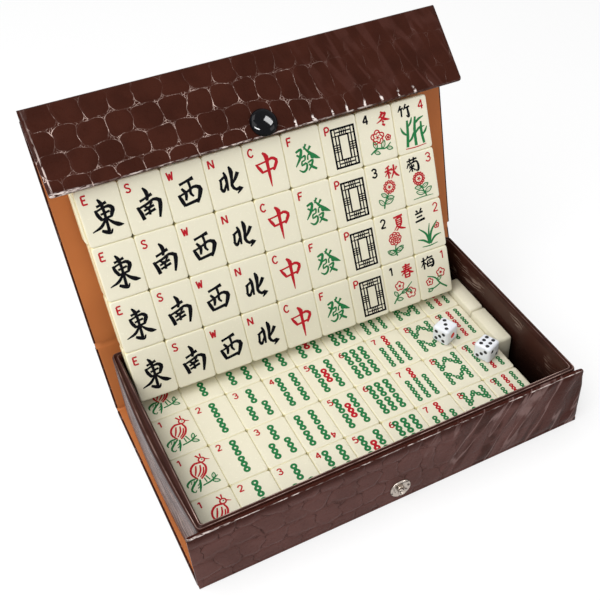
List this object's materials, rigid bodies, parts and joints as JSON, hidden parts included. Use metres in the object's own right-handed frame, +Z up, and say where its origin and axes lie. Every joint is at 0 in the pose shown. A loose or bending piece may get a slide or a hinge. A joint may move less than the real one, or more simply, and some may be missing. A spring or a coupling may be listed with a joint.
{
  "type": "mahjong case",
  "caption": "Book-style mahjong case standing open: wrapped tray of tiles and dice, hinged lid with a leaning wall of tiles, and a snap flap.",
  "frame": {"origin": "centre of the cover's underside, on the table", "axes": "+Z up, +X to the case's right as it faces the player, +Y from the front board to the spine"},
  "size_m": [0.2324, 0.1804, 0.1741],
  "materials": {
    "leatherette": "gloss",
    "lining": "satin",
    "tile_resin": "gloss",
    "die_resin": "gloss",
    "snap_metal": "satin",
    "snap_cap": "gloss"
  },
  "bodies": {
    "base": {"bottom_cover": "leatherette", "bottom_lining": "lining", "front_cover": "leatherette", "front_lining": "lining", "front_bend": "leatherette", "tray_floor": "leatherette", "tray_wall_front": "leatherette", "tray_wall_back": "leatherette", "tray_wall_left": "leatherette", "tray_wall_right": "leatherette", "snap_stud": "snap_metal", "stud_post": "snap_metal", "lower_row_1": "tile_resin", "lower_row_2": "tile_resin", "lower_row_3": "tile_resin", "lower_row_4": "tile_resin", "bamboo_1": "tile_resin", "bamboo_2": "tile_resin", "bamboo_3": "tile_resin", "bamboo_4": "tile_resin", "bamboo_5": "tile_resin", "bamboo_6": "tile_resin", "bamboo_7": "tile_resin", "bamboo_8": "tile_resin", "bamboo_9": "tile_resin", "back_row_1": "tile_resin", "back_row_2": "tile_resin", "back_row_3": "tile_resin", "back_row_4": "tile_resin", "winds_east": "tile_resin", "winds_south": "tile_resin", "winds_west": "tile_resin", "winds_north": "tile_resin", "dragons_red": "tile_resin", "dragons_green": "tile_resin", "dragons_white": "tile_resin", "seasons": "tile_resin", "plants": "tile_resin"},
    "spine": {"spine_cover": "leatherette", "spine_lining": "lining", "lower_bend": "leatherette"},
    "lid": {"lid_cover": "leatherette", "lid_lining": "lining", "upper_bend": "leatherette", "flap_bend": "leatherette", "lid_web": "leatherette"},
    "flap": {"flap_cover": "leatherette", "flap_lining": "lining", "flap_web": "leatherette", "snap_cap": "snap_cap", "snap_socket": "snap_metal"},
    "front_spare": {"blank_front": "tile_resin"},
    "rear_spare": {"blank_rear": "tile_resin"},
    "first_die": {"die_1": "die_resin"},
    "second_die": {"die_2": "die_resin"}
  },
  "joints": [
    {"name": "spine_fold", "type": "hinge", "parent": "base", "child": "spine", "pos_m": [0, 0.06625, 0.0013], "axis": [1, 0, 0], "range_deg": [-70, 0]},
    {"name": "lid_fold", "type": "hinge", "parent": "spine", "child": "lid", "pos_m": [0, 0.08032, 0.04193], "axis": [1, 0, 0], "range_deg": [-90, 0]},
    {"name": "flap_fold", "type": "hinge", "parent": "lid", "child": "flap", "pos_m": [0, 0.10973, 0.17277], "axis": [1, 0, 0], "range_deg": [-165, 0]},
    {"name": "die_1_lift", "type": "slide", "parent": "base", "child": "first_die", "axis": [0, 0, 1], "range_m": [0, 0.04]},
    {"name": "die_2_lift", "type": "slide", "parent": "base", "child": "second_die", "axis": [0, 0, 1], "range_m": [0, 0.04]},
    {"name": "blank_front_lift", "type": "slide", "parent": "base", "child": "front_spare", "axis": [0, 0, 1], "range_m": [0, 0.03]},
    {"name": "blank_rear_lift", "type": "slide", "parent": "base", "child": "rear_spare", "axis": [0, 0, 1], "range_m": [0, 0.03]}
  ]
}
